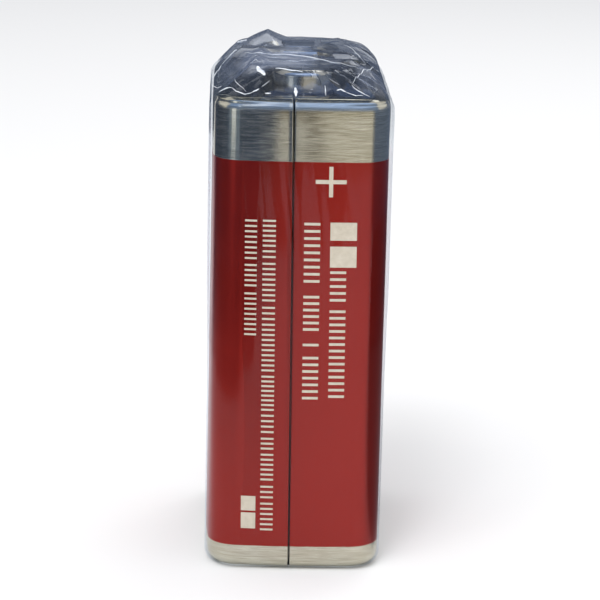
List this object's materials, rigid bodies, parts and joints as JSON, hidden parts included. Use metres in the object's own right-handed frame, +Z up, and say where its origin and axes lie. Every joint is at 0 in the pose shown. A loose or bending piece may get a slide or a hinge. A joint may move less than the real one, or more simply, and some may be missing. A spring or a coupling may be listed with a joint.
{
  "type": "nine volt battery",
  "caption": "Upright rectangular dry battery in a seamed, rolled tinplate jacket, with snap terminals on top and clear shrink film crumpled over them",
  "frame": {"origin": "middle of the underside, on the plane it stands on", "axes": "+Z up to the terminals, +Y from the positive stud towards the negative socket, +X across the narrow side, with the jacket's seam on the -Y end"},
  "size_m": [0.0175, 0.0266, 0.0496],
  "materials": {
    "lacquered_tinplate": "gloss",
    "moulded_plastic": "satin",
    "nickel_plate": "polished",
    "tinned_steel": "satin",
    "grey_card": "matte",
    "wrap_film": "gloss",
    "clear_film": "gloss",
    "cell_envelope": "satin",
    "carbon_film": "matte",
    "zinc": "matte",
    "separator_paper": "matte",
    "cathode_mix": "matte"
  },
  "bodies": {
    "root": {"bottom_cover": "moulded_plastic", "cell_1_carbon_film": "carbon_film", "cell_1_cathode_cake": "cathode_mix", "cell_1_envelope": "cell_envelope", "cell_1_separator": "separator_paper", "cell_1_zinc_plate": "zinc", "cell_2_carbon_film": "carbon_film", "cell_2_cathode_cake": "cathode_mix", "cell_2_envelope": "cell_envelope", "cell_2_separator": "separator_paper", "cell_2_zinc_plate": "zinc", "cell_3_carbon_film": "carbon_film", "cell_3_cathode_cake": "cathode_mix", "cell_3_envelope": "cell_envelope", "cell_3_separator": "separator_paper", "cell_3_zinc_plate": "zinc", "cell_4_carbon_film": "carbon_film", "cell_4_cathode_cake": "cathode_mix", "cell_4_envelope": "cell_envelope", "cell_4_separator": "separator_paper", "cell_4_zinc_plate": "zinc", "cell_5_carbon_film": "carbon_film", "cell_5_cathode_cake": "cathode_mix", "cell_5_envelope": "cell_envelope", "cell_5_separator": "separator_paper", "cell_5_zinc_plate": "zinc", "cell_6_carbon_film": "carbon_film", "cell_6_cathode_cake": "cathode_mix", "cell_6_envelope": "cell_envelope", "cell_6_separator": "separator_paper", "cell_6_zinc_plate": "zinc", "jacket": "lacquered_tinplate", "liner": "grey_card", "negative_collector": "tinned_steel", "negative_rivet": "nickel_plate", "negative_socket": "nickel_plate", "positive_collector": "tinned_steel", "positive_rivet": "nickel_plate", "positive_stud": "nickel_plate", "shrink_film": "clear_film", "stack_wrap": "wrap_film", "top_cover": "moulded_plastic", "top_pad": "grey_card"}
  },
  "joints": []
}
